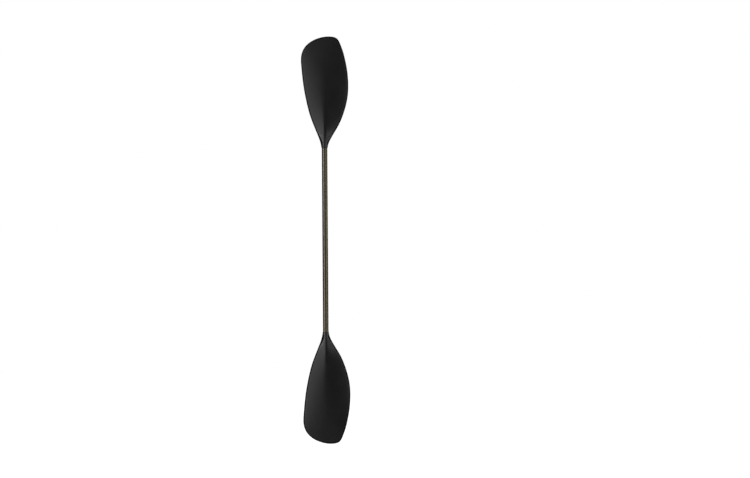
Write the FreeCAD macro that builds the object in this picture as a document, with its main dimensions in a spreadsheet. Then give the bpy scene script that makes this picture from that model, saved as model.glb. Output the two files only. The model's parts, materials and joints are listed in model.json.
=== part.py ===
import FreeCAD, Part
import math
import os

import Sketcher

# Kayak paddle in two halves, joined by a stepless ferrule that a hex key locks.
#
# Frame: millimetres, +Z up along the shaft, origin on the shaft's axis at the seam between the halves.
# The power faces of both blades look along +Y and their backs along -Y. The straighter, longer edge of
# each blade is on the -X side and the fuller edge on the +X side. The lower blade mirrors the upper one.
#
# A blade is described by its distance from the throat, where the shaft enters it, towards its tip.

SIZES = (
    ("paddle_length", 2000, "tip to tip"),
    ("blade_length", 550, "throat to tip"),
    ("tube_radius", 14, "outside of the shaft tubes"),
    ("tube_bore", 12.7, "inside radius of the shaft tubes"),
    ("tube_in_blade", 50, "how far a tube runs past the throat"),
    ("bond_radius", 13.8, "outside of a tube's end where it is sanded and glued into the blade"),
    ("scarf_start", 2, "how far past the throat the slanted cut of the tube begins"),
    ("scarf_drop", 20, "how far the slanted cut drops between its start and the tube's end"),
    ("plug_length", 110, "foam plug in each tube"),
    ("neck_radius", 15, "outside of the blade's neck at the throat"),
    ("neck_flare", 1, "growth of the neck's radius up to the end of the tube"),
    ("skin", 1, "thickness of a blade skin"),
    ("rim_width", 5, "width of the wear rim, seen from the front"),
    ("rim_start", 40, "distance from the throat where the rim begins"),
    ("edge_thickness", 5, "thickness of the blade where the spine has run out"),
    ("ridge_height", 12.5, "height of the back's ridge, near the throat"),
    ("flat_level", 4, "height of the power face above the shaft's axis at the end of the neck"),
    ("spoon_lift", 17, "forward curve of the blade between its neck and its tip"),
    ("dish_depth", 7, "how far the edges stand forward of the middle, halfway along"),
    ("neck_length", 60, "distance from the throat where the ridge begins to run out"),
    ("solid_neck", 42, "distance from the throat where the foam core begins"),
    ("seam", 0.8, "thickness of the sealing ring between the tubes"),
    ("seal_radius", 13.8, "outside of the sealing ring, a little below the tubes"),
    ("ferrule_depth", 62, "ferrule below the seam"),
    ("ferrule_reach", 95, "ferrule above the seam"),
    ("spigot_radius", 11.94, "outside of the ferrule above the seam"),
    ("sleeve_bore", 12, "inside radius of the wear sleeve"),
    ("sleeve_length", 110, "wear sleeve in the upper tube"),
    ("ferrule_bore", 9, "cavity of the ferrule"),
    ("taper_start", 62, "height where the cavity begins to narrow"),
    ("taper_end", 88, "height where the cavity stops narrowing"),
    ("mouth_radius", 7, "cavity's radius at the top"),
    ("slot_width", 1.6, "slots between the spigot's fingers"),
    ("slot_floor", 14, "height of the slots' lower ends"),
    ("screw_depth", 32, "lock screw's axis below the seam"),
    ("head_radius", 4, "lock screw's head"),
    ("head_height", 1.5, "lock screw's head"),
    ("head_seat", 10.65, "distance of the head's inner face from the shaft's axis"),
    ("shank_radius", 3, "lock screw's threaded shank"),
    ("shank_end", 8.4, "distance of the shank's far end from the shaft's axis"),
    ("journal_radius", 2.5, "lock screw's far end"),
    ("journal_end", 11.3, "distance of the screw's far end from the shaft's axis"),
    ("socket_flats", 4, "hex socket across flats"),
    ("socket_depth", 1.2, "hex socket"),
    ("bush_radius", 5, "threaded ring round the screw's head"),
    ("bush_face", 13.05, "distance of the ring's outer face from the shaft's axis"),
    ("key_hole", 2.8, "radius of the opening for the key"),
    ("clearance", 0.05, "running clearance on a radius"),
    ("wedge_back", 6.5, "wedge nut, from the axis towards -X"),
    ("wedge_front", 4, "wedge nut, from the axis towards +X"),
    ("wedge_width", 11, "wedge nut, along Y"),
    ("wedge_floor", 37, "wedge nut's lower face below the seam"),
    ("ramp_depth", 25, "ramp's middle below the seam"),
    ("ramp_slope", 0.6, "fall of the ramp for each millimetre towards +X"),
    ("foot_radius", 6, "foot of the push rod"),
    ("foot_top", 17, "top of the rod's foot below the seam"),
    ("rod_radius", 4, "push rod"),
    ("rod_shoulder", 56, "height where the rod steps down to its thread"),
    ("thread_radius", 2.5, "push rod's threaded end"),
    ("rod_top", 86, "height of the rod's upper end"),
    ("guide_half", 5, "half the height of the rod guide, which is centred on the seam"),
    ("cone_land", 60.5, "height where the cone begins to taper"),
    ("cone_top", 82, "height of the cone's upper face"),
    ("nut_flats", 8, "cone nut across flats"),
    ("nut_height", 3.5, "cone nut"),
    ("spring_radius", 4.8, "return spring, to the middle of the wire"),
    ("wire_width", 0.8, "return spring's square wire"),
    ("spring_pitch", 2.2, "return spring"),
)

# Edges of the blade as (distance from the throat, distance from the shaft's axis).
LONG_EDGE = (
    (0, 14), (20, 18), (40, 23.5), (80, 39), (120, 55), (160, 69.5), (200, 80.5),
    (260, 93.5), (330, 104.5), (400, 111.5), (435, 113.5), (460, 111), (490, 99.5), (515, 78),
    (533, 50),
)
TIP_EDGE = ((544, -20), (549.5, 10), (549.5, 33))
FULL_EDGE = (
    (541, 62), (528, 73), (510, 81), (480, 92), (440, 102.5), (400, 110.5), (350, 116.5),
    (300, 118), (250, 114), (200, 103), (160, 90), (120, 73), (80, 50), (40, 27),
    (20, 18.5), (0, 14),
)

# Shape of the blade's two faces.
DISH_REACH = 110  # distance from the shaft's axis where the dish has its depth
LONG_SIDE = (98, 400)  # how far that side widens, and at what distance from the throat it stops
FULL_SIDE = (104, 300)
REACH_POWER = 1.17  # how slowly the sides begin to widen
SPOON_POWER = 1.6  # how slowly the forward curve begins
DISH_SPAN = 0.9  # share of a half wave that the dish's depth follows along the blade
RIDGE_FADE = 1.6  # how soon the ridge runs out
RIDGE_ROUNDING = 0.12  # how round the top of the ridge is, as a share of the blade's half width
NECK_FRONT = 45  # distance over which the power face comes down from the round neck
NECK_COVER = 1.5  # how far the power face stands over the neck at the throat
NECK_WIDTH = 14  # half width of the power face's bulge over the neck
NECK_FLATNESS = 4  # how flat the bulge's top is
GRID_COLUMNS = 12  # points of a face on each side of the shaft's axis
GRID_ROWS = 26
GRID_REACH = 140
GRID_CROWDING = 0.5  # how much the points crowd towards the axis and the throat
GRID_MARGIN = 20  # reach of the faces beyond the throat and the tip
RIM_POINTS = 48  # points of the rim's inner edge
PRISM_DEPTH = 60  # reach of the trimming prisms to each side of the shaft's axis
CUT_MARGIN = 2  # how far a cutting sketch reaches beyond the material
ROUGH_RADIUS = 10  # size of a polygon before its dimensions are bound


def size(name):
    """Value of a driving dimension."""
    return float(sheet.get(name))


def fill_sheet(target):
    """One row for each driving dimension: name, value with its alias, meaning."""
    for row, (alias, value, meaning) in enumerate(SIZES, start=1):
        target.set(f"A{row}", alias)
        target.set(f"B{row}", str(value))
        target.set(f"C{row}", meaning)
        target.setAlias(f"B{row}", alias)


def smooth_step(position, end):
    """Rises smoothly from 0 at position 0 to 1 at position end."""
    fraction = min(max(position / end, 0.0), 1.0)
    return fraction * fraction * (3 - 2 * fraction)


# ---------------------------------------------------------------- sketches and features


def add_sketch(body, name, plane, offset=None):
    """Sketch on one of the body's origin planes, moved along the plane's normal by an expression."""
    origin_plane = next(f for f in body.Origin.OriginFeatures if f.Role == plane)
    sketch = body.newObject("Sketcher::SketchObject", name)
    sketch.AttachmentSupport = [(origin_plane, "")]
    sketch.MapMode = "FlatFace"
    if offset:
        sketch.setExpression("AttachmentOffset.Base.z", offset)
    return sketch


def constrain(sketch, kind, elements, name, expression):
    """Adds a named dimension and binds it to an expression."""
    index = sketch.addConstraint(Sketcher.Constraint(kind, *elements, 1.0))
    sketch.renameConstraint(index, name)
    sketch.setExpression(f"Constraints.{name}", expression)


def draw_circle(sketch, name, radius, height="0 mm"):
    """Circle on the sketch's vertical axis, its centre at a height."""
    circle = sketch.addGeometry(Part.Circle(FreeCAD.Vector(0, 0, 0), FreeCAD.Vector(0, 0, 1), 1), False)
    constrain(sketch, "Radius", (circle,), f"{name}_radius", radius)
    constrain(sketch, "DistanceX", (-1, 1, circle, 3), f"{name}_across", "0 mm")
    constrain(sketch, "DistanceY", (-1, 1, circle, 3), f"{name}_height", height)


def draw_polygon(sketch, corners):
    """Closed polygon whose corners are pairs of expressions."""
    count = len(corners)
    turns = [math.tau * i / count for i in range(count)]
    start = [FreeCAD.Vector(math.cos(a), math.sin(a), 0) * ROUGH_RADIUS for a in turns]
    lines = [
        sketch.addGeometry(Part.LineSegment(start[i], start[(i + 1) % count]), False)
        for i in range(count)
    ]
    for i in range(count):
        following = lines[(i + 1) % count]
        sketch.addConstraint(Sketcher.Constraint("Coincident", lines[i], 2, following, 1))
    for i, (across, up) in enumerate(corners):
        constrain(sketch, "DistanceX", (-1, 1, lines[i], 1), f"across_{i}", across)
        constrain(sketch, "DistanceY", (-1, 1, lines[i], 1), f"up_{i}", up)


def draw_hexagon(sketch, flats):
    """Regular hexagon round the sketch's origin, with two sides parallel to its vertical axis."""
    half = f"{flats} / 2"
    point = f"{flats} / sqrt(3)"
    draw_polygon(sketch, [
        ("0 mm", point),
        (f"-({half})", f"{point} / 2"),
        (f"-({half})", f"-{point} / 2"),
        ("0 mm", f"-{point}"),
        (half, f"-{point} / 2"),
        (half, f"{point} / 2"),
    ])


def pad(body, sketch, name, length, symmetric=False):
    feature = body.newObject("PartDesign::Pad", name)
    feature.Profile = sketch
    feature.Midplane = symmetric
    feature.setExpression("Length", length)
    return feature


def revolve(body, sketch, name):
    """Full turn about the sketch's vertical axis."""
    feature = body.newObject("PartDesign::Revolution", name)
    feature.Profile = sketch
    feature.ReferenceAxis = (sketch, ["V_Axis"])
    feature.Angle = 360
    return feature


def pocket(body, sketch, name, length, reverse=False, symmetric=False):
    """Pocket that has to remove material."""
    document.recompute()
    before = body.Shape.Volume
    feature = body.newObject("PartDesign::Pocket", name)
    feature.Profile = sketch
    feature.Reversed = reverse
    feature.Midplane = symmetric
    feature.setExpression("Length", length)
    document.recompute()
    if not body.Shape.Volume < before:
        raise RuntimeError(f"{name} removes nothing")
    return feature


def new_body(name):
    body = document.addObject("PartDesign::Body", name)
    body.Label = name
    return body


def lathe_body(name, corners):
    """Body of revolution about Z, from a half profile of (radius, height) expressions."""
    body = new_body(name)
    sketch = add_sketch(body, f"{name}_profile", "XZ_Plane")
    draw_polygon(sketch, corners)
    revolve(body, sketch, f"{name}_turned")
    return body


def ring_body(name, inner, outer, near, far):
    """Plain ring about Z. Its bore may be zero."""
    return lathe_body(name, [(inner, near), (outer, near), (outer, far), (inner, far)])


def aim_along_x(body):
    """Turns a body that is built along +Z so that it lies along +X at the lock screw's height."""
    body.Placement = FreeCAD.Placement(
        FreeCAD.Vector(0, 0, -size("screw_depth")),
        FreeCAD.Rotation(FreeCAD.Vector(0, 1, 0), 90),
    )


# ---------------------------------------------------------------- shaft


THROAT = "(Sizes.paddle_length / 2 - Sizes.blade_length)"  # its height in the upper half


def cut_scarf(body, name, half):
    """Slanted cut of a tube's end, which leaves the part behind the power face. half is +1 or -1."""
    start = f"{half} * ({THROAT} + Sizes.scarf_start)"
    end = f"{half} * ({THROAT} + Sizes.tube_in_blade)"
    front = "Sizes.tube_radius"
    outside = f"{front} + {CUT_MARGIN}"
    sketch = add_sketch(body, f"{name}_scarf_side", "YZ_Plane")
    draw_polygon(sketch, [(front, start), (outside, start), (outside, end),
                          (f"{front} - Sizes.scarf_drop", end)])
    pocket(body, sketch, f"{name}_scarf", "4 * Sizes.tube_radius", symmetric=True)


def shaft_tube(name, half):
    """Tube of one half of the shaft, from the seam into the blade's neck. half is +1 or -1."""
    near = f"{half} * Sizes.seam / 2"
    throat = f"{half} * {THROAT}"
    far = f"{half} * ({THROAT} + Sizes.tube_in_blade)"
    body = lathe_body(name, [
        ("Sizes.tube_bore", near),
        ("Sizes.tube_radius", near),
        ("Sizes.tube_radius", throat),
        ("Sizes.bond_radius", throat),
        ("Sizes.bond_radius", far),
        ("Sizes.tube_bore", far),
    ])
    cut_scarf(body, name, half)
    return body


def tube_plug(name, half):
    """Foam plug that fills the blade's end of a tube."""
    near = f"{half} * ({THROAT} + Sizes.tube_in_blade - Sizes.plug_length)"
    far = f"{half} * ({THROAT} + Sizes.tube_in_blade)"
    body = ring_body(name, "0 mm", "Sizes.tube_bore", near, far)
    cut_scarf(body, name, half)
    return body


def cut_screw_hole(body, name, radius, start, length, reverse):
    """Round hole along X at the lock screw's height, from start and along +X or, reversed, -X."""
    sketch = add_sketch(body, f"{name}_circle", "YZ_Plane", start)
    draw_circle(sketch, name, radius, "-Sizes.screw_depth")
    pocket(body, sketch, name, length, reverse)


# ---------------------------------------------------------------- ferrule


def ferrule_body():
    """Spigot: bonded in the lower tube, slotted and sliding in the sleeve of the upper one."""
    body = lathe_body("ferrule_body", [
        ("Sizes.ferrule_bore", "-Sizes.ferrule_depth"),
        ("Sizes.tube_bore", "-Sizes.ferrule_depth"),
        ("Sizes.tube_bore", "-Sizes.seam"),
        ("Sizes.spigot_radius", "-Sizes.seam"),
        ("Sizes.spigot_radius", "Sizes.ferrule_reach"),
        ("Sizes.mouth_radius", "Sizes.ferrule_reach"),
        ("Sizes.mouth_radius", "Sizes.taper_end"),
        ("Sizes.ferrule_bore", "Sizes.taper_start"),
    ])
    slot = add_sketch(body, "finger_slot_outline", "XY_Plane", "Sizes.ferrule_reach")
    half_width = "Sizes.slot_width / 2"
    reach = "Sizes.tube_bore"
    draw_polygon(slot, [(f"-{reach}", f"-{half_width}"), (reach, f"-{half_width}"),
                        (reach, half_width), (f"-{reach}", half_width)])
    cut = pocket(body, slot, "finger_slot", "Sizes.ferrule_reach - Sizes.slot_floor")
    fingers = body.newObject("PartDesign::PolarPattern", "finger_slots")
    fingers.Originals = [cut]
    fingers.Axis = (slot, ["N_Axis"])
    fingers.Angle = 180
    fingers.Occurrences = 2
    body.Tip = fingers
    cut_screw_hole(body, "bush_hole", "Sizes.bush_radius", "Sizes.head_seat - Sizes.clearance",
                   "Sizes.tube_radius", True)
    cut_screw_hole(body, "shank_hole", "Sizes.shank_radius + 2 * Sizes.clearance", "0 mm",
                   "Sizes.head_seat", True)
    cut_screw_hole(body, "journal_hole", "Sizes.journal_radius + Sizes.clearance", "0 mm",
                   "Sizes.journal_end + 4 * Sizes.clearance", False)
    return body


def lock_screw():
    """Captive screw across the ferrule, built along its own axis with the head's face upward."""
    body = lathe_body("lock_screw", [
        ("0 mm", "-Sizes.journal_end"),
        ("Sizes.journal_radius", "-Sizes.journal_end"),
        ("Sizes.journal_radius", "-Sizes.shank_end"),
        ("Sizes.shank_radius", "-Sizes.shank_end"),
        ("Sizes.shank_radius", "Sizes.head_seat"),
        ("Sizes.head_radius", "Sizes.head_seat"),
        ("Sizes.head_radius", "Sizes.head_seat + Sizes.head_height"),
        ("0 mm", "Sizes.head_seat + Sizes.head_height"),
    ])
    socket = add_sketch(body, "socket_outline", "XY_Plane", "Sizes.head_seat + Sizes.head_height")
    draw_hexagon(socket, "Sizes.socket_flats")
    pocket(body, socket, "key_socket", "Sizes.socket_depth")
    aim_along_x(body)
    return body


def screw_bush():
    """Ring in the tube's wall that keeps the screw's head in and lets the key through."""
    seat = "(Sizes.head_seat - Sizes.clearance)"
    lip = "(Sizes.head_seat + Sizes.head_height + Sizes.clearance)"
    recess = "Sizes.head_radius + Sizes.clearance"
    body = lathe_body("screw_bush", [
        (recess, seat),
        ("Sizes.bush_radius", seat),
        ("Sizes.bush_radius", "Sizes.bush_face"),
        ("Sizes.key_hole", "Sizes.bush_face"),
        ("Sizes.key_hole", lip),
        (recess, lip),
    ])
    aim_along_x(body)
    return body


def wedge_nut():
    """Block on the screw's thread. Its ramp falls towards +X."""
    middle = "-Sizes.ramp_depth"
    body = new_body("wedge_nut")
    side = add_sketch(body, "wedge_side", "XZ_Plane")
    draw_polygon(side, [
        ("-Sizes.wedge_back", "-Sizes.wedge_floor"),
        ("Sizes.wedge_front", "-Sizes.wedge_floor"),
        ("Sizes.wedge_front", f"{middle} - Sizes.ramp_slope * Sizes.wedge_front"),
        ("-Sizes.wedge_back", f"{middle} + Sizes.ramp_slope * Sizes.wedge_back"),
    ])
    pad(body, side, "wedge_block", "Sizes.wedge_width", symmetric=True)
    hole = add_sketch(body, "wedge_thread_circle", "YZ_Plane")
    draw_circle(hole, "wedge_thread", "Sizes.shank_radius + Sizes.clearance", "-Sizes.screw_depth")
    pocket(body, hole, "wedge_thread", "4 * Sizes.ferrule_bore", symmetric=True)
    return body


def push_rod():
    """Rod on the shaft's axis, with a slanted foot that rests on the wedge's ramp."""
    lowest = "(Sizes.ramp_depth + Sizes.ramp_slope * Sizes.foot_radius)"
    body = lathe_body("push_rod", [
        ("0 mm", f"-{lowest}"),
        ("Sizes.foot_radius", f"-{lowest}"),
        ("Sizes.foot_radius", "-Sizes.foot_top"),
        ("Sizes.rod_radius", "-Sizes.foot_top"),
        ("Sizes.rod_radius", "Sizes.rod_shoulder"),
        ("Sizes.thread_radius", "Sizes.rod_shoulder"),
        ("Sizes.thread_radius", "Sizes.rod_top"),
        ("0 mm", "Sizes.rod_top"),
    ])
    reach = f"(Sizes.foot_radius + {CUT_MARGIN})"
    ramp = "-Sizes.ramp_depth + Sizes.clearance"
    slant = add_sketch(body, "foot_slant_side", "XZ_Plane")
    draw_polygon(slant, [
        (f"-{reach}", f"-{lowest} - {CUT_MARGIN}"),
        (reach, f"-{lowest} - {CUT_MARGIN}"),
        (reach, f"{ramp} - Sizes.ramp_slope * {reach}"),
        (f"-{reach}", f"{ramp} + Sizes.ramp_slope * {reach}"),
    ])
    pocket(body, slant, "foot_slant", "4 * Sizes.foot_radius", symmetric=True)
    return body


def expander_cone():
    """Cone that runs in the ferrule's cavity and just meets its taper when the rod is fully up."""
    slope = "((Sizes.ferrule_bore - Sizes.mouth_radius) / (Sizes.taper_end - Sizes.taper_start))"
    land = "Sizes.ferrule_bore - Sizes.clearance"
    return lathe_body("expander_cone", [
        ("Sizes.thread_radius", "Sizes.rod_shoulder"),
        (land, "Sizes.rod_shoulder"),
        (land, "Sizes.cone_land"),
        (f"{land} - {slope} * (Sizes.cone_top - Sizes.cone_land)", "Sizes.cone_top"),
        ("Sizes.thread_radius", "Sizes.cone_top"),
    ])


def cone_nut():
    """Hexagon nut on the rod's thread, above the cone."""
    body = new_body("cone_nut")
    outline = add_sketch(body, "cone_nut_outline", "XY_Plane", "Sizes.cone_top")
    draw_hexagon(outline, "Sizes.nut_flats")
    pad(body, outline, "cone_nut_block", "Sizes.nut_height")
    thread = add_sketch(body, "cone_nut_thread_circle", "XY_Plane", "Sizes.cone_top + Sizes.nut_height")
    draw_circle(thread, "cone_nut_thread", "Sizes.thread_radius")
    pocket(body, thread, "cone_nut_thread", "2 * Sizes.nut_height")
    return body


def return_spring():
    """Coil of square wire between the rod's foot and the rod guide."""
    body = new_body("return_spring")
    lowest = "(Sizes.clearance - Sizes.foot_top)"
    inner = "Sizes.spring_radius - Sizes.wire_width / 2"
    outer = "Sizes.spring_radius + Sizes.wire_width / 2"
    wire = add_sketch(body, "spring_wire_section", "XZ_Plane")
    draw_polygon(wire, [
        (inner, lowest),
        (outer, lowest),
        (outer, f"{lowest} + Sizes.wire_width"),
        (inner, f"{lowest} + Sizes.wire_width"),
    ])
    coil = body.newObject("PartDesign::AdditiveHelix", "spring_coil")
    coil.Profile = wire
    coil.ReferenceAxis = (wire, ["V_Axis"])
    coil.Mode = "pitch-height-angle"
    coil.setExpression("Pitch", "Sizes.spring_pitch")
    coil.setExpression(
        "Height", "Sizes.foot_top - Sizes.guide_half - Sizes.wire_width - 2 * Sizes.clearance"
    )
    return body


def build_ferrule():
    """Everything between the two tubes."""
    return [
        ferrule_body(),
        lock_screw(),
        screw_bush(),
        wedge_nut(),
        push_rod(),
        ring_body("rod_guide", "Sizes.rod_radius + Sizes.clearance", "Sizes.ferrule_bore",
                  "-Sizes.guide_half", "Sizes.guide_half"),
        return_spring(),
        expander_cone(),
        cone_nut(),
        ring_body("seam_ring", "Sizes.spigot_radius + Sizes.clearance", "Sizes.seal_radius",
                  "-Sizes.seam / 2", "Sizes.seam / 2"),
        ring_body("ferrule_sleeve", "Sizes.sleeve_bore", "Sizes.tube_bore",
                  "Sizes.seam / 2", "Sizes.sleeve_length"),
    ]


# ---------------------------------------------------------------- blade surfaces


def beyond_neck(distance):
    """0 up to the end of the neck, rising evenly to 1 at the tip."""
    return max(distance - size("neck_length"), 0) / (size("blade_length") - size("neck_length"))


def blade_reach(across, distance):
    """Smooth half width of the blade on one side, which the ridge of its back is spread over."""
    gain, widest_at = LONG_SIDE if across < 0 else FULL_SIDE
    quarter_turn = min(max(distance, 0) / widest_at, 1) * math.pi / 2
    return size("tube_radius") + gain * math.sin(quarter_turn) ** REACH_POWER


def ridge(share):
    """Roof with a rounded top: 1 on the shaft's axis, 0 where share is 1."""
    fall = math.hypot(share, RIDGE_ROUNDING) - RIDGE_ROUNDING
    return 1 - fall / (math.hypot(1, RIDGE_ROUNDING) - RIDGE_ROUNDING)


def blade_front(across, distance):
    """Power face beyond the neck: a spoon curve along the blade and a shallow dish across it."""
    dish = size("dish_depth") * math.sin(math.pi * min(DISH_SPAN * distance / size("blade_length"), 1))
    lift = size("spoon_lift") * beyond_neck(distance) ** SPOON_POWER
    return size("flat_level") + lift + dish * (across / DISH_REACH) ** 2


def power_face(across, distance, inset):
    """Height of the power face, or of the surface a little behind it. It climbs over the round neck."""
    climb = size("neck_radius") + NECK_COVER - size("flat_level")
    bulge = math.exp(-((across / NECK_WIDTH) ** NECK_FLATNESS)) * (1 - smooth_step(distance, NECK_FRONT))
    return blade_front(across, distance) + climb * bulge - inset


def back_face(across, distance, inset):
    """Height of the back, or of the surface a little in front of it, with the ridge along its middle."""
    height = size("ridge_height") * max(1 - beyond_neck(distance), 0) ** RIDGE_FADE
    thickness = size("edge_thickness") + height * ridge(across / blade_reach(across, distance))
    return blade_front(across, distance) - thickness + inset


def space_in_front(height, inset):
    """Solid in front of a face that is given by its height over the blade's plane."""
    steps = [i / GRID_COLUMNS - 1 for i in range(2 * GRID_COLUMNS + 1)]
    columns = [GRID_REACH * s * abs(s) ** GRID_CROWDING for s in steps]
    length = size("blade_length") + 2 * GRID_MARGIN
    rows = [length * (i / GRID_ROWS) ** (1 + GRID_CROWDING) - GRID_MARGIN for i in range(GRID_ROWS + 1)]
    grid = [[FreeCAD.Vector(x, height(x, u, inset), u) for x in columns] for u in rows]
    surface = Part.BSplineSurface()
    surface.interpolate(grid)
    return surface.toShape().extrude(FreeCAD.Vector(0, PRISM_DEPTH, 0))


def edge_curve():
    """Edge of the blade, from the throat round the tip and back."""
    left = [FreeCAD.Vector(-x, 0, u) for u, x in LONG_EDGE]
    tip = [FreeCAD.Vector(x, 0, u) for u, x in TIP_EDGE]
    right = [FreeCAD.Vector(x, 0, u) for u, x in FULL_EDGE]
    curve = Part.BSplineCurve()
    curve.interpolate(Points=left + tip + right)
    return curve


def inner_edge_curve():
    """The same edge moved into the blade by the rim's width."""
    edge = edge_curve()
    span = edge.LastParameter - edge.FirstParameter
    points = []
    for i in range(RIM_POINTS + 1):
        parameter = edge.FirstParameter + span * i / RIM_POINTS
        inward = edge.tangent(parameter)[0].cross(FreeCAD.Vector(0, 1, 0))
        points.append(edge.value(parameter) - inward.normalize() * size("rim_width"))
    curve = Part.BSplineCurve()
    curve.interpolate(Points=points)
    return curve


def closed_wire(curve):
    """Wire of an open curve and a straight line between its ends."""
    line = Part.LineSegment(curve.EndPoint, curve.StartPoint)
    return Part.Wire([curve.toShape(), line.toShape()])


# ---------------------------------------------------------------- blade pieces


def throat_height():
    """Height of the upper blade's throat."""
    return size("paddle_length") / 2 - size("blade_length")


def construction(name, shape):
    """Shape that the blade's pieces are cut from, raised to the throat of the upper blade."""
    feature = document.addObject("Part::Feature", name)
    feature.Shape = shape
    feature.Placement.Base = FreeCAD.Vector(0, 0, throat_height())
    return feature


def combine(kind, name, base, tool):
    """Boolean of two objects: kind is Cut, Common or Fuse."""
    feature = document.addObject(f"Part::{kind}", name)
    feature.Base = base
    feature.Tool = tool
    feature.Label = name
    return feature


def prism(name, outline):
    """Prism through the blade over a flat outline."""
    feature = document.addObject("Part::Extrusion", name)
    feature.Base = outline
    feature.DirMode = "Custom"
    feature.Dir = FreeCAD.Vector(0, 1, 0)
    feature.LengthFwd = 2 * PRISM_DEPTH
    feature.Symmetric = True
    feature.Solid = True
    return feature


def throat_box(name, length):
    """Everything in the blade up to a distance from the throat, which is an expression."""
    block = document.addObject("Part::Box", name)
    block.setExpression("Height", f"{length} + {GRID_MARGIN}")
    block.Length = 2 * PRISM_DEPTH
    block.Width = 2 * PRISM_DEPTH
    block.Placement.Base = FreeCAD.Vector(-PRISM_DEPTH, -PRISM_DEPTH, throat_height() - GRID_MARGIN)
    return block


def neck_socket():
    """Flared socket of the blade round the tube's end."""
    socket = document.addObject("Part::Cone", "neck_socket")
    socket.setExpression("Radius1", "Sizes.neck_radius")
    socket.setExpression("Radius2", "Sizes.neck_radius + Sizes.neck_flare")
    socket.setExpression("Height", "Sizes.tube_in_blade")
    socket.Placement.Base = FreeCAD.Vector(0, 0, throat_height())
    return socket


def tube_space():
    """The space that the shaft's tube takes in the upper blade, with its slanted end."""
    body = ring_body("tube_space", "0 mm", "Sizes.bond_radius", f"{THROAT} - {GRID_MARGIN}",
                     f"{THROAT} + Sizes.tube_in_blade")
    cut_scarf(body, "tube_space", 1)
    return body


def build_upper_blade():
    """Rim, two skins and foam core of the upper blade."""
    skin = size("skin")
    tube = tube_space()
    whole = prism("whole_prism", construction("blade_edge", closed_wire(edge_curve())))
    middle = prism("middle_prism", construction("rim_inner_edge", closed_wire(inner_edge_curve())))
    neck = throat_box("neck_without_rim", "Sizes.rim_start")
    panel = combine("Fuse", "panel_prism", middle, combine("Common", "neck_prism", whole, neck))
    rim = combine("Cut", "rim_prism", combine("Cut", "rim_ring", whole, middle), neck)
    power = construction("before_power_face", space_in_front(power_face, 0))
    power_inside = construction("before_power_skin", space_in_front(power_face, skin))
    back = construction("before_back", space_in_front(back_face, 0))
    back_inside = construction("before_back_skin", space_in_front(back_face, skin))

    rim_blank = combine("Common", "rim_blank", rim, back)
    before_back_skin = combine("Common", "panel_front", panel, back_inside)
    power_sheet = combine("Cut", "power_sheet", combine("Common", "power_blank", before_back_skin,
                                                        power_inside), power)
    back_sheet = combine("Cut", "back_sheet", combine("Common", "back_blank", panel, back), back_inside)
    socket = combine("Cut", "socket_blank", neck_socket(), power_inside)
    filling = combine("Cut", "filling_round_socket", combine("Cut", "filling", before_back_skin,
                                                             power_inside), socket)
    filling_round_tube = combine("Cut", "filling_round_tube", filling, tube)
    throat = throat_box("solid_throat", "Sizes.solid_neck")
    neck_wings = combine("Common", "neck_wings", filling_round_tube, throat)
    return [
        combine("Cut", "upper_edge_rim", rim_blank, power),
        combine("Fuse", "upper_power_skin", power_sheet, neck_wings),
        combine("Cut", "upper_back_skin", combine("Fuse", "back_with_socket", back_sheet, socket), tube),
        combine("Cut", "upper_foam_core", filling_round_tube, throat),
    ]


def mirrored(piece):
    """The same piece of the lower blade."""
    name = piece.Label.replace("upper", "lower")
    feature = document.addObject("Part::Mirroring", name)
    feature.Source = piece
    feature.Normal = FreeCAD.Vector(0, 0, 1)
    feature.Label = name
    return feature


def check_and_write(pieces):
    """Stops on any failed object or bad solid, then writes one file for each piece."""
    document.recompute()
    for item in document.Objects:
        if "Invalid" in item.State or "Error" in item.State:
            raise RuntimeError(f"{item.Label} failed: {item.State}")
    os.makedirs("parts", exist_ok=True)
    for piece in pieces:
        shape = piece.Shape
        if shape.isNull() or not shape.isValid() or not shape.Solids:
            raise RuntimeError(f"{piece.Label} is not a valid solid")
        shape.exportStep(os.path.join("parts", f"{piece.Label}.step"))
        box = shape.BoundBox
        print(f"{piece.Label:18} {len(shape.Solids)} solid  {box.XLength:7.1f} {box.YLength:7.1f} "
              f"{box.ZLength:7.1f} mm  {shape.Volume / 1000:8.2f} cm3")


document = FreeCAD.newDocument("kayak_paddle")
sheet = document.addObject("Spreadsheet::Sheet", "Sizes")
fill_sheet(sheet)
document.recompute()

lower_tube = shaft_tube("lower_shaft_tube", -1)
cut_screw_hole(lower_tube, "tube_bush_hole", "Sizes.bush_radius", "0 mm", "2 * Sizes.tube_radius", True)
shaft = [
    lower_tube,
    shaft_tube("upper_shaft_tube", 1),
    tube_plug("lower_tube_plug", -1),
    tube_plug("upper_tube_plug", 1),
]
ferrule = build_ferrule()
upper_blade = build_upper_blade()
lower_blade = [mirrored(piece) for piece in upper_blade]
check_and_write(shaft + ferrule + upper_blade + lower_blade)
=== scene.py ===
import json
import math

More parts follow.
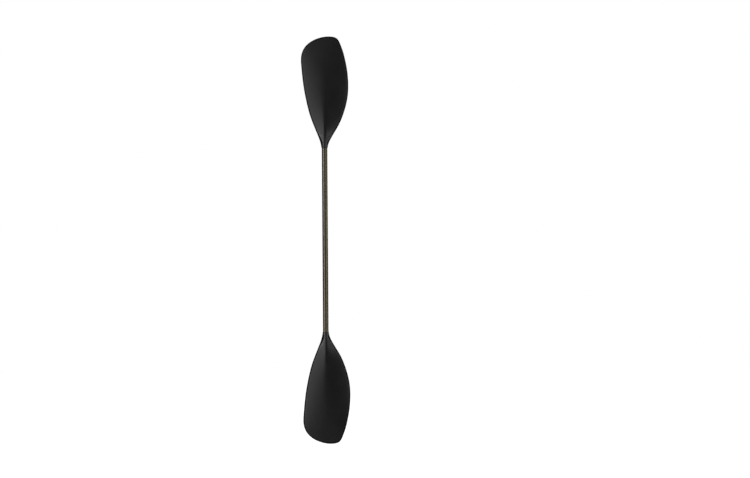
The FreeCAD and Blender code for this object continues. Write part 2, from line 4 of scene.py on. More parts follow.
import bpy
import numpy as np
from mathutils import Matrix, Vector


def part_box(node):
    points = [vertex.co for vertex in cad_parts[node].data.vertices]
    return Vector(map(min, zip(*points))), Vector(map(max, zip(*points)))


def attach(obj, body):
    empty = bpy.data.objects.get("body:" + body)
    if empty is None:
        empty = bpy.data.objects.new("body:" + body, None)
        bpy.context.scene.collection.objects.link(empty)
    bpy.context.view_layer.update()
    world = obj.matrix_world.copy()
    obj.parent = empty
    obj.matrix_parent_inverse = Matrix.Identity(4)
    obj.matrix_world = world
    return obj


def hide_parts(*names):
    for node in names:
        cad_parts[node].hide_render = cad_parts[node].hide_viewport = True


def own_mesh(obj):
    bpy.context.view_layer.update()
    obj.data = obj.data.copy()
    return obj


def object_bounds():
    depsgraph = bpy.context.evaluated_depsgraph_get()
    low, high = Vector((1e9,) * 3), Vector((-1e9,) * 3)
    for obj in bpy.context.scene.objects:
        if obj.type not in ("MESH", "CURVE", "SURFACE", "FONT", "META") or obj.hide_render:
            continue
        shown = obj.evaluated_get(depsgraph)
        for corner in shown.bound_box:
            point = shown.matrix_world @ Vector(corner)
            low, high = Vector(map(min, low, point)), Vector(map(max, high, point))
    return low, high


# Looks of a kayak paddle in two halves, built round its CAD frame.
#
# A blade is described in millimetres: u is the distance from the throat, where the shaft enters the
# blade, towards the tip; x is the distance across, and y is the height over the blade's plane, towards
# the power face. The lower blade mirrors the upper one.

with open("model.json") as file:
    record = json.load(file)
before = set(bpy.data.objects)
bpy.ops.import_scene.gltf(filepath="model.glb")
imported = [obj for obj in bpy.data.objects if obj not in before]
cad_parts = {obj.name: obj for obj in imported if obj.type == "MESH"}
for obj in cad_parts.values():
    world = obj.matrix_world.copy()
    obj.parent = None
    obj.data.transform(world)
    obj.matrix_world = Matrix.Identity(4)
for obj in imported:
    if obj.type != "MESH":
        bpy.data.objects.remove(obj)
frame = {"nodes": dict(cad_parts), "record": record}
cad_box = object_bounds()

MM = 0.001
HALVES = {"upper": 1, "lower": -1}  # which way each half's tip points along Z

# ---------------------------------------------------------------- sizes of a blade, in millimetres

BLADE_LENGTH = 550
NECK_LENGTH = 60  # distance from the throat where the ridge begins to run out
NECK_RADIUS = 15
TUBE_RADIUS = 14

# Outline as (distance from the throat, distance from the axis), up to each end of the straight tip.
LONG_EDGE = (
    (0, 15), (20, 18), (40, 23.5), (80, 39), (120, 55), (160, 69.5), (200, 80.5),
    (260, 93.5), (330, 104.5), (400, 111.5), (435, 113.5), (460, 111), (490, 99.5), (515, 78),
    (533, 50), (544, 20), (549.5, -10),
)
FULL_EDGE = (
    (0, 15), (20, 18.5), (40, 27), (80, 50), (120, 73), (160, 90), (200, 103), (250, 114),
    (300, 118), (350, 116.5), (400, 110.5), (440, 102.5), (480, 92), (510, 81), (528, 73),
    (541, 62), (549.5, 33),
)

SKIN_THICKNESS = 0.9
EDGE_THICKNESS = 5  # of the whole blade, where its ridge has run out
RIDGE_HEIGHT = 12.5
RIDGE_FADE = 1.6  # how soon the ridge runs out
RIDGE_ROUNDING = 0.12  # how round the top of the ridge is, as a share of its reach to each side
FLAT_LEVEL = 4  # height of the power face over the shaft's axis at the end of the neck
SPOON_LIFT = 17  # forward curve between the neck and the tip
SPOON_POWER = 1.6  # how slowly the forward curve begins
DISH_DEPTH = 7  # how far the edges stand forward of the middle, halfway along
DISH_REACH = 110  # distance from the axis where the dish has its depth
DISH_SPAN = 0.9  # share of a half wave that the dish's depth follows along the blade
LONG_SIDE = (98, 400)  # growth of the ridge's reach on that side, and distance from the throat it takes
FULL_SIDE = (104, 300)
REACH_POWER = 1.17  # how slowly the reach begins to grow
NECK_FRONT = 45  # distance over which the power face comes down from the round neck
NECK_BACK = 95  # distance over which the back turns from round to a ridge
LIP = 0.8  # rounding of the neck's end
CORNER_START = 10  # distance from the throat where the faces begin to square up towards their edges
CORNER_REACH = 1.6  # reach of the rounding between a face and the edge, beyond the neck

RIM_WIDTH = 6  # over the blade's faces
RIM_CORNER = 2.4  # reach of the rim's round outer edge
RIM_PROUD = 0.15  # how far the rim stands over the skins
RIM_START = 2  # distance from the throat where the rim begins to grow out of the neck
RIM_GROWTH = 26  # distance over which it grows to its full section
SKIN_INSET = 2.6  # how far the skins' edges lie inside the rim

# The rim's inner edges, as distance from the edge and share of the rim's height there.
RIM_INNER_EDGE = ((0, 0.88), (0.3, 0.97), (0.8, 1))

COLUMNS = 44  # mesh columns of a skin on each side of its middle
ROWS = 170
LIP_ROWS = (0, 0.05, 0.15, 0.3, 0.5, 0.75, 1)  # mesh rows of the lip, as shares of it
MIDDLE_TURN = 0.8  # share of the way to the tip where a skin's middle column leaves the axis
RIM_STATIONS = 520
RIM_CORNER_POINTS = 13
DIRECTION_STEP = 0.05  # distance to each side of a point at which a curve's direction is taken


def smooth_step(position, end):
    """Rises smoothly from 0 at position 0 to 1 at position end."""
    fraction = np.clip(position / end, 0, 1)
    return fraction * fraction * (3 - 2 * fraction)


class SmoothCurve:
    """Natural cubic spline through points, measured by the chord length from its first point."""

    def __init__(self, points):
        self.points = np.array(points, float)
        self.steps = np.linalg.norm(np.diff(self.points, axis=0), axis=1)
        self.knots = np.concatenate([[0], np.cumsum(self.steps)])
        self.bends = self.solve_bends()

    def solve_bends(self):
        """Second derivatives at the points, zero at both ends."""
        count = len(self.points)
        system = np.eye(count)
        target = np.zeros_like(self.points)
        for i in range(1, count - 1):
            before = self.steps[i - 1]
            after = self.steps[i]
            system[i, i - 1:i + 2] = before, 2 * (before + after), after
            slope_before = (self.points[i] - self.points[i - 1]) / before
            slope_after = (self.points[i + 1] - self.points[i]) / after
            target[i] = 6 * (slope_after - slope_before)
        return np.linalg.solve(system, target)

    def at(self, distance):
        """Points at an array of distances."""
        i = np.clip(np.searchsorted(self.knots, distance) - 1, 0, len(self.steps) - 1)
        step = self.steps[i]
        after = ((distance - self.knots[i]) / step)[:, None]
        before = 1 - after
        bend = (before ** 3 - before) * self.bends[i] + (after ** 3 - after) * self.bends[i + 1]
        straight = before * self.points[i] + after * self.points[i + 1]
        return straight + bend * (step ** 2)[:, None] / 6

    def inward(self, distance):
        """Unit normals to the right of the curve's direction, which is into the blade."""
        along = self.at(distance + DIRECTION_STEP) - self.at(distance - DIRECTION_STEP)
        normal = np.column_stack([along[:, 1], -along[:, 0]])
        return normal / np.linalg.norm(normal, axis=1)[:, None]


def outline_curve():
    """Outline from the throat up the long edge, round the tip and back, as (x, u)."""
    left = [(-x, u) for u, x in LONG_EDGE]
    right = [(x, u) for u, x in FULL_EDGE]
    return SmoothCurve(left + right[::-1])


OUTLINE = outline_curve()

# Distances along the outline, to the left and right ends of the tip and to its own end.
LEFT_END = OUTLINE.knots[len(LONG_EDGE) - 1]
RIGHT_END = OUTLINE.knots[len(LONG_EDGE)]
WHOLE = OUTLINE.knots[-1]

# ---------------------------------------------------------------- faces of a blade


def beyond_neck(u):
    """0 up to the end of the neck, rising evenly to 1 at the tip."""
    return np.clip((u - NECK_LENGTH) / (BLADE_LENGTH - NECK_LENGTH), 0, 1)


def side_reach(u, side):
    """How far the ridge slopes down to one side."""
    growth, widest_at = side
    quarter_turn = np.clip(u / widest_at, 0, 1) * math.pi / 2
    return TUBE_RADIUS + growth * np.sin(quarter_turn) ** REACH_POWER


def front_height(x, u):
    """Height of the power face beyond the neck."""
    dish = DISH_DEPTH * np.sin(math.pi * np.clip(DISH_SPAN * u / BLADE_LENGTH, 0, 1))
    lift = SPOON_LIFT * beyond_neck(u) ** SPOON_POWER
    return FLAT_LEVEL + lift + dish * (x / DISH_REACH) ** 2


def back_height(x, u):
    """Height of the back, whose ridge runs out towards the tip."""
    share = x / np.where(x < 0, side_reach(u, LONG_SIDE), side_reach(u, FULL_SIDE))
    fall = np.hypot(share, RIDGE_ROUNDING) - RIDGE_ROUNDING
    ridge = 1 - fall / (math.hypot(1, RIDGE_ROUNDING) - RIDGE_ROUNDING)
    height = RIDGE_HEIGHT * (1 - beyond_neck(u)) ** RIDGE_FADE
    return front_height(x, u) - EDGE_THICKNESS - height * ridge


def edge_height(x, u):
    """Middle of the blade's edge, which leaves the shaft's axis along the neck."""
    return smooth_step(u, NECK_FRONT) * (front_height(x, u) - EDGE_THICKNESS / 2)


def skin_edge(distance):
    """Edge of a skin, inside the outline by an inset that grows as the rim does."""
    points = OUTLINE.at(distance)
    inset = SKIN_INSET * smooth_step(points[:, 1] - RIM_START, RIM_GROWTH)
    return points + OUTLINE.inward(distance) * inset[:, None]


def row_shares():
    """Shares of the way from the throat to the tip: fine over the lip, then even."""
    lip = np.array(LIP_ROWS) * LIP / LEFT_END
    even = np.linspace(lip[-1], 1, ROWS)
    return np.concatenate([lip, even[1:]])


def blade_grid():
    """Points of a blade across and along.

    With each point come its share k of the way from the middle to the edge, the half width of its row,
    and the height of the edge there.
    """
    shares = row_shares()
    left = skin_edge(shares * LEFT_END)
    right = skin_edge(WHOLE - shares * (WHOLE - RIGHT_END))
    middle = (left + right) / 2
    middle[:, 0] *= smooth_step(shares - MIDDLE_TURN, 1 - MIDDLE_TURN)
    across = np.sin(np.linspace(-1, 1, 2 * COLUMNS + 1) * math.pi / 2)
    side = np.where(across[None, :, None] < 0, left[:, None, :], right[:, None, :])
    k = np.abs(across)[None, :]
    grid = middle[:, None, :] * (1 - k[:, :, None]) + side * k[:, :, None]
    x = grid[:, :, 0]
    u = grid[:, :, 1]
    half_width = np.hypot(side[:, :, 0] - middle[:, None, 0], side[:, :, 1] - middle[:, None, 1])
    edge = edge_height(side[:, :, 0], side[:, :, 1])
    return x, u, np.broadcast_to(k, x.shape), half_width, edge


def lip_scale(u):
    """Scale of the neck's section, which shrinks over its lip so that its end is rounded."""
    short = np.clip(1 - u / LIP, 0, 1)
    return 1 - LIP * (1 - np.sqrt(1 - short ** 2)) / NECK_RADIUS


def section_height(face, u, k, half_width, edge, round_radius, length):
    """Height of one face: round at the throat, the face's own shape after a length, closed at the edge."""
    turn = smooth_step(u, length)
    squareness = smooth_step(u - CORNER_START, NECK_LENGTH) * half_width / CORNER_REACH
    round_part = np.sqrt(1 - k ** 2) * (round_radius - edge)
    flat_part = np.sqrt(1 - k ** (2 + squareness)) * (face - edge)
    return edge + (1 - turn) * round_part + turn * flat_part


def face_points(is_front):
    """Grid of one face of a blade, in millimetres."""
    x, u, k, half_width, edge = blade_grid()
    scale = lip_scale(u)
    if is_front:
        y = section_height(front_height(x, u), u, k, half_width, edge, NECK_RADIUS * scale, NECK_FRONT)
    else:
        y = section_height(back_height(x, u), u, k, half_width, edge, -NECK_RADIUS * scale, NECK_BACK)
    return np.stack([x * scale, y, u], axis=-1)


# ---------------------------------------------------------------- pieces of a blade


def to_frame(points, half):
    """Millimetres of a blade to metres of the frame."""
    low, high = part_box(f"{half}_edge_rim")
    tip = high.z if HALVES[half] > 0 else low.z
    throat = abs(tip) - BLADE_LENGTH * MM
    placed = points * MM
    placed[..., 2] = HALVES[half] * (throat + placed[..., 2])
    return placed


def add_piece(name, points, faces, smooth=True):
    """Mesh object from points and faces."""
    mesh = bpy.data.meshes.new(name)
    mesh.from_pydata(points.reshape(-1, 3).tolist(), [], faces)
    mesh.validate()
    mesh.polygons.foreach_set("use_smooth", [smooth] * len(mesh.polygons))
    mesh.update()
    piece = bpy.data.objects.new(name, mesh)
    bpy.context.scene.collection.objects.link(piece)
    return piece


def grid_faces(points, flip):
    """Quads of a grid of points."""
    rows, columns = points.shape[:2]
    faces = []
    for row in range(rows - 1):
        for column in range(columns - 1):
            corner = row * columns + column
            quad = (corner, corner + 1, corner + columns + 1, corner + columns)
            faces.append(quad[::-1] if flip else quad)
    return faces


def tube_faces(points, flip):
    """Quads between rings of points, and a cap at each end."""
    rings, around = points.shape[:2]
    faces = []
    for ring in range(rings - 1):
        for i in range(around):
            following = (i + 1) % around
            first = ring * around
            second = first + around
            quad = (first + i, first + following, second + following, second + i)
            faces.append(quad[::-1] if flip else quad)
    first_cap = tuple(range(around))
    last_cap = tuple(range((rings - 1) * around, rings * around))
    faces.append(first_cap if flip else first_cap[::-1])
    faces.append(last_cap[::-1] if flip else last_cap)
    return faces


def add_skin(half, is_front):
    """One moulded skin of a blade, as a closed shell."""
    points = to_frame(face_points(is_front), half)
    flip = (HALVES[half] > 0) == is_front
    name = f"{half}_power_shell" if is_front else f"{half}_back_shell"
    piece = add_piece(name, points, grid_faces(points, flip))
    shell = piece.modifiers.new("thickness", "SOLIDIFY")
    shell.thickness = SKIN_THICKNESS * MM
    shell.offset = -1  # the whole thickness lies inside the face
    shell.use_even_offset = False
    return piece


def rim_section():
    """Section of the rim: each point's inset, and its height from 1 at the front to -1 at the back."""
    turns = np.linspace(math.pi / 2, -math.pi / 2, RIM_CORNER_POINTS)
    from_edge, level = np.array(RIM_INNER_EDGE).T
    inner = RIM_WIDTH - from_edge
    insets = np.concatenate([inner, RIM_CORNER * (1 - np.cos(turns)), inner[::-1]])
    heights = np.concatenate([level, np.sin(turns), -level[::-1]])
    return insets, heights


def rim_points():
    """Rings of the wear rim round the outline, in millimetres."""
    insets, heights = rim_section()
    distance = np.linspace(RIM_START, WHOLE - RIM_START, RIM_STATIONS)
    edge = OUTLINE.at(distance)
    inward = OUTLINE.inward(distance)
    grown = smooth_step(edge[:, 1] - RIM_START, RIM_GROWTH)[:, None]
    offset = insets[None, :] * grown - RIM_PROUD * grown
    x = edge[:, :1] + inward[:, :1] * offset
    u = edge[:, 1:] + inward[:, 1:] * offset
    middle = edge_height(edge[:, 0], edge[:, 1])[:, None]
    face = np.where(heights > 0, front_height(x, u) + RIM_PROUD, back_height(x, u) - RIM_PROUD)
    y = middle + grown * (face - middle) * np.abs(heights)
    return np.stack([x, y, u], axis=-1)


def add_rim(half):
    """Wear rim as a closed tube with capped ends."""
    points = to_frame(rim_points(), half)
    faces = tube_faces(points, HALVES[half] < 0)
    return add_piece(f"{half}_rim_bead", points, faces)


# ---------------------------------------------------------------- return spring

SPRING_WIRE = 0.8 * MM  # thickness of the wire
SPRING_PITCH = 2.2 * MM  # rise of each open turn
CLOSED_PITCH = 1.05 * SPRING_WIRE  # rise of the first and last turns
TURN_STEPS = 36
WIRE_SIDES = 12


def spring_points(low, high):
    """Rings of a round wire, coiled to fill a box, with a closed turn at each end."""
    wire_radius = SPRING_WIRE / 2
    open_height = high.z - low.z - 2 * wire_radius - 2 * CLOSED_PITCH
    turns = 2 + round(open_height / SPRING_PITCH)
    turn = np.linspace(0, turns, turns * TURN_STEPS + 1)
    heights = (0, CLOSED_PITCH, CLOSED_PITCH + open_height, 2 * CLOSED_PITCH + open_height)
    rise = np.interp(turn, (0, 1, turns - 1, turns), heights)
    around = np.linspace(0, math.tau, WIRE_SIDES, endpoint=False)[None, :]
    radius = high.x - wire_radius + wire_radius * np.cos(around)
    angle = math.tau * turn[:, None]
    z = low.z + wire_radius + rise[:, None] + wire_radius * np.sin(around)
    return np.stack([radius * np.cos(angle), radius * np.sin(angle), z], axis=-1)


def add_spring(material):
    """Return spring between the rod's foot and the rod guide, built as one fixed coil; the real one
    shortens as the rod rises.
    """
    low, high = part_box("return_spring")
    points = spring_points(low, high)
    spring = add_piece("return_coil", points, tube_faces(points, True))
    dress(spring, material)
    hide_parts("return_spring")
    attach(spring, "lower_half")
    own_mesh(spring)


# ---------------------------------------------------------------- materials

NOISE_SPAN = (0.3, 0.7)  # nearly all values of a noise lie between these

# Numbers of the mix node's sockets for colours, because other kinds of data share their names.
MIX_FACTOR = 0
MIX_FIRST = 6
MIX_SECOND = 7
MIX_RESULT = 2


class Graph:
    """Nodes of one material, with short ways to add and join them. Its lengths are in metres."""

    def __init__(self, name):
        self.material = bpy.data.materials.new(name)
        self.material.use_nodes = True
        self.tree = self.material.node_tree
        self.surface = self.tree.nodes["Principled BSDF"]

    def add(self, kind, inputs=(), **settings):
        """Adds a node and fills its inputs, by name or number, with values or other nodes' outputs."""
        node = self.tree.nodes.new(kind)
        for name, value in settings.items():
            setattr(node, name, value)
        for name, value in dict(inputs).items():
            self.put(value, node.inputs[name])
        return node

    def put(self, value, socket):
        """Links another node's output to an input, or sets the input to a value."""
        if isinstance(value, bpy.types.NodeSocket):
            self.tree.links.new(value, socket)
        else:
            socket.default_value = value

    def set(self, **values):
        """Fills inputs of the surface. An underscore in a name stands for a space."""
        for name, value in values.items():
            self.put(value, self.surface.inputs[name.replace("_", " ")])

    def math(self, operation, *values):
        """Result of a sum on values or other nodes' outputs."""
        return self.add("ShaderNodeMath", enumerate(values), operation=operation).outputs[0]

    def place(self):
        """Position in the paddle's frame, in metres."""
        return self.add("ShaderNodeTexCoord").outputs["Object"]

    def split(self, place):
        """A position's x, y and z."""
        parts = self.add("ShaderNodeSeparateXYZ", {0: place}).outputs
        return parts[0], parts[1], parts[2]

    def stretched(self, scale):
        """Position scaled differently along x, y and z."""
        return self.add("ShaderNodeMapping", {"Vector": self.place(), "Scale": scale}).outputs[0]

    def noise(self, vector, scale, detail=3.0, roughness=0.5):
        """Smooth random values round 0.5, with about scale features to a metre."""
        inputs = {"Vector": vector, "Scale": scale, "Detail": detail, "Roughness": roughness}
        return self.add("ShaderNodeTexNoise", inputs).outputs["Fac"]

    def spread(self, value, low, high, to_low=0.0, to_high=1.0):
        """Maps low..high to another span, clamped."""
        inputs = {"Value": value, "From Min": low, "From Max": high, "To Min": to_low, "To Max": to_high}
        return self.add("ShaderNodeMapRange", inputs).outputs[0]

    def vary(self, noise, low, high):
        """Spreads a noise over low..high."""
        return self.spread(noise, *NOISE_SPAN, low, high)

    def blend(self, factor, first, second):
        """Mixes two colours: the first where the factor is 0, the second where it is 1."""
        inputs = {MIX_FACTOR: factor, MIX_FIRST: first, MIX_SECOND: second}
        return self.add("ShaderNodeMix", inputs, data_type="RGBA").outputs[MIX_RESULT]

    def bump(self, height, strength, distance, below=None):
        """Normal of a surface raised by height times distance, on top of another bump's normal."""
        node = self.add("ShaderNodeBump", {"Height": height, "Strength": strength, "Distance": distance})
        if below is not None:
            self.put(below, node.inputs["Normal"])
        return node.outputs[0]


TWILL_REPEAT = 4.0  # tows after which a twill repeats
TWILL_OVER = 2.0  # tows that a warp tow passes over in each repeat


def twill(graph, warp, weft):
    """Twill from the places across its warp and weft tows: whether the warp is on top, and the height."""
    steps = graph.math("ADD", graph.math("FLOOR", warp), graph.math("FLOOR", weft))
    place_in_repeat = graph.math("FLOORED_MODULO", steps, TWILL_REPEAT)
    on_top = graph.math("LESS_THAN", place_in_repeat, TWILL_OVER)
    crowns = []  # each tow's roundness: 0 at its edges and 1 along its middle
    for across in (warp, weft):
        off_middle = graph.math("SUBTRACT", graph.math("FRACT", across), 0.5)
        squared = graph.math("MULTIPLY", off_middle, off_middle)
        crowns.append(graph.math("MULTIPLY_ADD", squared, -4.0, 1.0))
    under = graph.math("MULTIPLY", graph.math("SUBTRACT", 1.0, on_top), crowns[1])
    height = graph.math("MULTIPLY_ADD", on_top, crowns[0], under)
    return on_top, height


BRAID_TOWS = 40  # tows of each direction round a tube
BLADE_TOW = 2.0 * MM  # width of a tow in the blades' twill
SCUFFED_SPAN = (0.80, 1.0)  # distances from the middle of the paddle over which wear grows, in metres
SCUFF_NOISE = (0.66, 0.74)  # values of the noise over which a scratch sets in
RUB_NOISE = (0.52, 0.68)  # the same for a rubbed place on the rim


def shaft_material():
    """Braid of carbon and aramid tows at 45 degrees, under a satin clear coat."""
    graph = Graph("carbon_aramid_braid")
    place = graph.place()
    x, y, z = graph.split(place)
    turn = graph.math("MULTIPLY", graph.math("ARCTAN2", y, x), BRAID_TOWS / math.tau)
    along = graph.math("MULTIPLY", z, BRAID_TOWS / (math.tau * TUBE_RADIUS * MM))
    carbon_place = graph.math("ADD", along, turn)
    aramid_place = graph.math("SUBTRACT", along, turn)
    carbon_on_top, height = twill(graph, carbon_place, aramid_place)
    fibres = graph.noise(graph.stretched((1, 1, 0.35)), scale=2600.0)
    aramid = graph.blend(fibres, (0.014, 0.012, 0.007, 1), (0.033, 0.028, 0.016, 1))
    carbon = graph.blend(fibres, (0.007, 0.0064, 0.0048, 1), (0.013, 0.0118, 0.0085, 1))
    graph.set(
        Base_Color=graph.blend(carbon_on_top, aramid, carbon),
        Roughness=graph.spread(carbon_on_top, 0, 1, to_low=0.25, to_high=0.22),
        Specular_IOR_Level=1.0,
        Specular_Tint=(1.0, 0.87, 0.62, 1),
        Coat_Weight=0.2,
        Coat_Roughness=graph.vary(graph.noise(place, scale=25.0), 0.18, 0.25),
        Normal=graph.bump(height, strength=0.08, distance=0.06 * MM),
    )
    return graph.material


def towards_tip(graph, z):
    """0 up to where the wear begins, rising evenly to 1 at the tip."""
    return graph.spread(graph.math("ABSOLUTE", z), *SCUFFED_SPAN)


def scuffs(graph, z):
    """Fine scratches along the blade, only towards its tip."""
    lines = graph.noise(graph.stretched((1, 1, 0.03)), scale=1500.0, detail=2.0)
    growth = graph.math("POWER", towards_tip(graph, z), 2.0)
    return graph.math("MULTIPLY", graph.spread(lines, *SCUFF_NOISE), growth)


def blade_material():
    """Satin black carbon laminate: a faint twill under the resin, orange peel and scuffs at the tip."""
    graph = Graph("satin_carbon_laminate")
    place = graph.place()
    x, _, z = graph.split(place)
    tows = 1 / (math.sqrt(2) * BLADE_TOW)  # in a metre along X or Z, which the tows cross at 45 degrees
    warp = graph.math("MULTIPLY", graph.math("ADD", x, z), tows)
    weft = graph.math("MULTIPLY", graph.math("SUBTRACT", z, x), tows)
    on_top, height = twill(graph, warp, weft)
    clouds = graph.vary(graph.noise(place, scale=14.0, detail=4.0), 0.29, 0.34)
    scratch = scuffs(graph, z)
    weave = graph.blend(on_top, (0.0028, 0.0028, 0.0029, 1), (0.0045, 0.0045, 0.0046, 1))
    peel = graph.bump(graph.noise(place, scale=420.0), strength=0.10, distance=0.10 * MM)
    graph.set(
        Base_Color=graph.blend(scratch, weave, (0.06, 0.06, 0.06, 1)),
        Roughness=graph.math("MULTIPLY_ADD", scratch, 0.2, clouds),
        Normal=graph.bump(height, strength=0.12, distance=0.05 * MM, below=peel),
    )
    return graph.material


def edge_material():
    """Hard matte rim of resin and short fibres, rubbed lighter at the tip."""
    graph = Graph("matte_wear_rim")
    place = graph.place()
    z = graph.split(place)[2]
    fibres = graph.noise(place, scale=1400.0, detail=5.0, roughness=0.7)
    patches = graph.spread(graph.noise(place, scale=90.0, detail=4.0), *RUB_NOISE)
    rubbed = graph.math("MULTIPLY", patches, towards_tip(graph, z))
    graph.set(
        Base_Color=graph.blend(rubbed, (0.0016, 0.0016, 0.0016, 1), (0.0045, 0.0045, 0.0042, 1)),
        Roughness=graph.vary(fibres, 0.62, 0.80),
        Specular_IOR_Level=0.08,
        Normal=graph.bump(fibres, strength=0.25, distance=0.12 * MM),
    )
    return graph.material


def foam_material():
    """Closed-cell foam."""
    graph = Graph("closed_cell_foam")
    inputs = {"Vector": graph.place(), "Scale": 900.0}
    cells = graph.add("ShaderNodeTexVoronoi", inputs).outputs["Distance"]
    graph.set(
        Base_Color=graph.blend(cells, (0.50, 0.44, 0.26, 1), (0.78, 0.72, 0.52, 1)),
        Roughness=0.85,
        Normal=graph.bump(cells, strength=0.5, distance=0.4 * MM),
    )
    return graph.material


MOULDED_SPREAD = 0.06  # how far roughness varies to each side


def moulded_material(name, dark, light, roughness, grain):
    """Moulded plastic or rubber, with a fine grain and faint clouds between two colours."""
    graph = Graph(name)
    place = graph.place()
    texture = graph.noise(place, scale=grain, detail=4.0)
    clouds = graph.noise(place, scale=60.0)
    graph.set(
        Base_Color=graph.blend(clouds, (*dark, 1), (*light, 1)),
        Roughness=graph.vary(texture, roughness - MOULDED_SPREAD, roughness + MOULDED_SPREAD),
        Normal=graph.bump(texture, strength=0.2, distance=0.1 * MM),
    )
    return graph.material


def sleeve_material():
    """Filament-wound glass and epoxy: amber, with the winding's fine hoops."""
    graph = Graph("wound_glass_epoxy")
    hoops = graph.noise(graph.stretched((0.05, 0.05, 1)), scale=1800.0)
    graph.set(
        Base_Color=graph.blend(hoops, (0.26, 0.19, 0.07, 1), (0.48, 0.38, 0.18, 1)),
        Roughness=0.34,
        Normal=graph.bump(hoops, strength=0.3, distance=0.08 * MM),
        Coat_Weight=0.4,
    )
    return graph.material


TARNISH = 0.8  # brightness of a metal's dull places against its clean ones
METAL_SPREAD = 0.08  # how far roughness varies to each side
RINGED_ALONG_X = (1, 0.05, 0.05)  # how densely tool marks follow one another along x, y and z
RINGED_ALONG_Z = (0.05, 0.05, 1)


def metal_material(name, colour, roughness, marks):
    """Machined metal with fine tool marks."""
    graph = Graph(name)
    lines = graph.noise(graph.stretched(marks), scale=3000.0, detail=2.0)
    worn = graph.noise(graph.place(), scale=180.0)
    shade = tuple(channel * TARNISH for channel in colour)
    graph.set(
        Base_Color=graph.blend(worn, (*shade, 1), (*colour, 1)),
        Metallic=1.0,
        Roughness=graph.vary(lines, roughness - METAL_SPREAD, roughness + METAL_SPREAD),
        Normal=graph.bump(lines, strength=0.15, distance=0.02 * MM),
    )
    return graph.material


def make_materials():
    """One material for each material slot of the record."""
    nylon = ((0.010, 0.010, 0.010), (0.020, 0.020, 0.020))
    rubber = ((0.008, 0.008, 0.008), (0.014, 0.014, 0.014))
    acetal = ((0.66, 0.64, 0.58), (0.74, 0.72, 0.66))
    return {
        "shaft_weave": shaft_material(),
        "blade_skin": blade_material(),
        "edge": edge_material(),
        "foam": foam_material(),
        "ferrule": moulded_material("glass_filled_nylon", *nylon, roughness=0.45, grain=900.0),
        "sleeve": sleeve_material(),
        "seal": moulded_material("seal_rubber", *rubber, roughness=0.70, grain=500.0),
        "steel": metal_material("stainless_steel", (0.56, 0.57, 0.58), 0.26, RINGED_ALONG_X),
        "brass": metal_material("brass", (0.62, 0.44, 0.18), 0.30, RINGED_ALONG_X),
        "aluminium": metal_material("aluminium", (0.70, 0.71, 0.72), 0.32, RINGED_ALONG_Z),
        "bush": moulded_material("acetal", *acetal, roughness=0.38, grain=700.0),
    }


def dress(piece, material):
    """Gives a piece its material through its object's slots."""
    if not piece.material_slots:
        piece.data.materials.append(material)
    for slot in piece.material_slots:
        slot.link = "OBJECT"
        slot.material = material


# ---------------------------------------------------------------- putting the paddle together


def build_blade(half, materials):
    """Visual skins and rim of one blade, which stand for the CAD ones."""
    pieces = (
        (add_skin(half, True), f"{half}_power_skin", "blade_skin"),
        (add_skin(half, False), f"{half}_back_skin", "blade_skin"),
        (add_rim(half), f"{half}_edge_rim", "edge"),
    )
    for piece, node, slot in pieces:
        dress(piece, materials[slot])
        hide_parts(node)
        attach(piece, f"{half}_half")


def dress_cad_nodes(materials):
    """Every CAD node gets the material of its slot."""
    for subpart in frame["record"]["subparts"]:
        dress(frame["nodes"][subpart["node"]], materials[subpart["material_slot"]])


# ---------------------------------------------------------------- studio, in metres

FLOOR_RADIUS = 7.0
FLOOR_SIDES = 96
FLOOR_GAP = 1 * MM  # below the lower tip
FLOOR_GLOW = 0.92  # brightness of the floor by itself, to the camera
FLOOR_FADE = (1.5, 6.0)  # distances from its middle between which the floor fades to white


def floor_material():
    """Matte grey that fades into the white background."""
    graph = Graph("pale_floor")
    radius = graph.add("ShaderNodeVectorMath", {0: graph.place()}, operation="LENGTH").outputs["Value"]
    seen = graph.add("ShaderNodeLightPath").outputs["Is Camera Ray"]
    glow = graph.spread(radius, *FLOOR_FADE, FLOOR_GLOW, 1.0)
    graph.set(
        Base_Color=(0.62, 0.62, 0.62, 1),
        Roughness=0.9,
        Specular_IOR_Level=0.0,
        Emission_Color=(1, 1, 1, 1),
        Emission_Strength=graph.math("MULTIPLY", seen, glow),
    )
    return graph.material


def add_floor(lowest):
    """Pale round floor under the lower tip. It doesn't light the paddle or show in its gloss."""
    turns = np.linspace(0, math.tau, FLOOR_SIDES, endpoint=False)
    rim = np.column_stack([np.cos(turns), np.sin(turns), np.zeros(FLOOR_SIDES)]) * FLOOR_RADIUS
    points = np.vstack([rim, [[0, 0, 0]]])
    faces = [(i, (i + 1) % FLOOR_SIDES, FLOOR_SIDES) for i in range(FLOOR_SIDES)]
    floor = add_piece("floor", points, faces, smooth=False)
    floor.location.z = lowest - FLOOR_GAP
    dress(floor, floor_material())
    floor.visible_glossy = False
    floor.visible_diffuse = False
    floor.visible_shadow = False


WORLD_GREY = 0.03  # light from the room, as the paddle sees it


def make_background():
    """White to the camera, and a dim even grey to everything else."""
    world = bpy.data.worlds.new("studio")
    world.use_nodes = True
    nodes = world.node_tree.nodes
    links = world.node_tree.links
    seen = nodes.new("ShaderNodeLightPath").outputs["Is Camera Ray"]
    strength = nodes.new("ShaderNodeMapRange")
    strength.inputs["To Min"].default_value = WORLD_GREY
    strength.inputs["To Max"].default_value = 1.0
    links.new(seen, strength.inputs["Value"])
    background = nodes["Background"]
    background.inputs["Color"].default_value = (1, 1, 1, 1)
    links.new(strength.outputs[0], background.inputs["Strength"])
    bpy.context.scene.world = world
    bpy.context.scene.view_settings.view_transform = "Standard"


SOFTBOX_DISTANCE = 3.6  # from the shaft

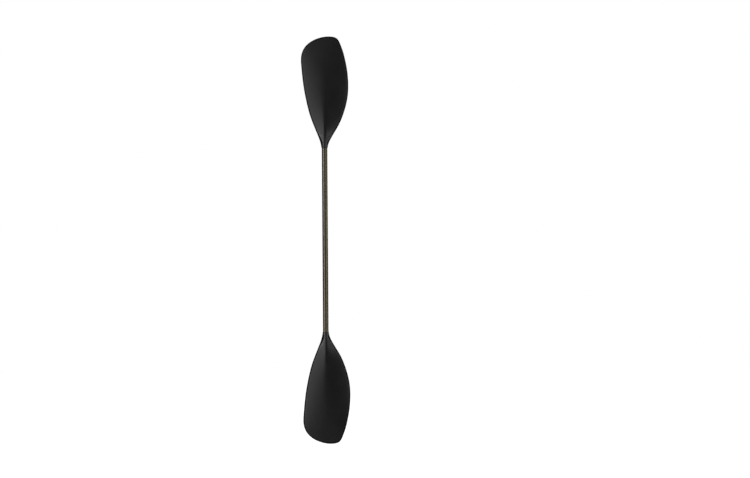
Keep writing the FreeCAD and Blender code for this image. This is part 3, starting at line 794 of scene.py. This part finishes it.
# Name, degrees to the right of the camera, rise over the paddle's middle, width, height and watts.
SOFTBOXES = (
    ("front_left", -29, 0, 1.7, 6.0, 46),
    ("key_left", -52, 0, 0.6, 6.0, 70),
    ("front_right", 34, 0, 0.7, 6.0, 23),
    ("fill_right", 62, 0, 0.9, 6.0, 50),
    ("rear_left", -153, 0, 2.0, 6.0, 26),
    ("rear_middle", 180, 0, 1.8, 6.0, 6.5),
    ("rear_right", 140, 0, 1.0, 6.0, 45),
    ("upper_front", -8, 2.1, 3.0, 0.9, 2.5),
    ("lower_front", -8, -2.1, 3.0, 0.9, 2.5),
)


def add_softboxes(middle):
    """Rectangular lights round the paddle, aimed level at its axis and unseen by the camera."""
    for name, degrees, rise, width, height, power in SOFTBOXES:
        light = bpy.data.lights.new(name, "AREA")
        light.shape = "RECTANGLE"
        light.size = width
        light.size_y = height
        light.energy = power
        box = bpy.data.objects.new(name, light)
        bpy.context.scene.collection.objects.link(box)
        turn = math.radians(degrees)
        towards = Vector((math.sin(turn), -math.cos(turn), 0))
        box.location = middle + towards * SOFTBOX_DISTANCE + Vector((0, 0, rise))
        box.rotation_euler = towards.to_track_quat("Z", "Y").to_euler()
        box.visible_camera = False


FRAME_WIDTH = 3.677  # metres across the picture, at the paddle
CAMERA_DISTANCE = 12.0
CAMERA_SIDE = 0.2443  # the picture's middle lies this far to the right of the shaft
CAMERA_HEIGHT = 0.004
CAMERA_ROLL = math.radians(0.39)
SENSOR_WIDTH = 36  # millimetres


def add_camera():
    """Long level lens that looks at the backs of the blades."""
    lens = bpy.data.cameras.new("camera")
    lens.sensor_width = SENSOR_WIDTH
    lens.lens = SENSOR_WIDTH * CAMERA_DISTANCE / FRAME_WIDTH
    camera = bpy.data.objects.new("camera", lens)
    bpy.context.scene.collection.objects.link(camera)
    camera.location = (CAMERA_SIDE, -CAMERA_DISTANCE, CAMERA_HEIGHT)
    camera.rotation_euler = (math.pi / 2, CAMERA_ROLL, 0)
    bpy.context.scene.camera = camera


# ---------------------------------------------------------------- the whole scene

materials = make_materials()
dress_cad_nodes(materials)
for half in HALVES:
    build_blade(half, materials)
add_spring(materials["steel"])

add_floor(cad_box[0].z)
make_background()
add_softboxes((cad_box[0] + cad_box[1]) / 2)
add_camera()
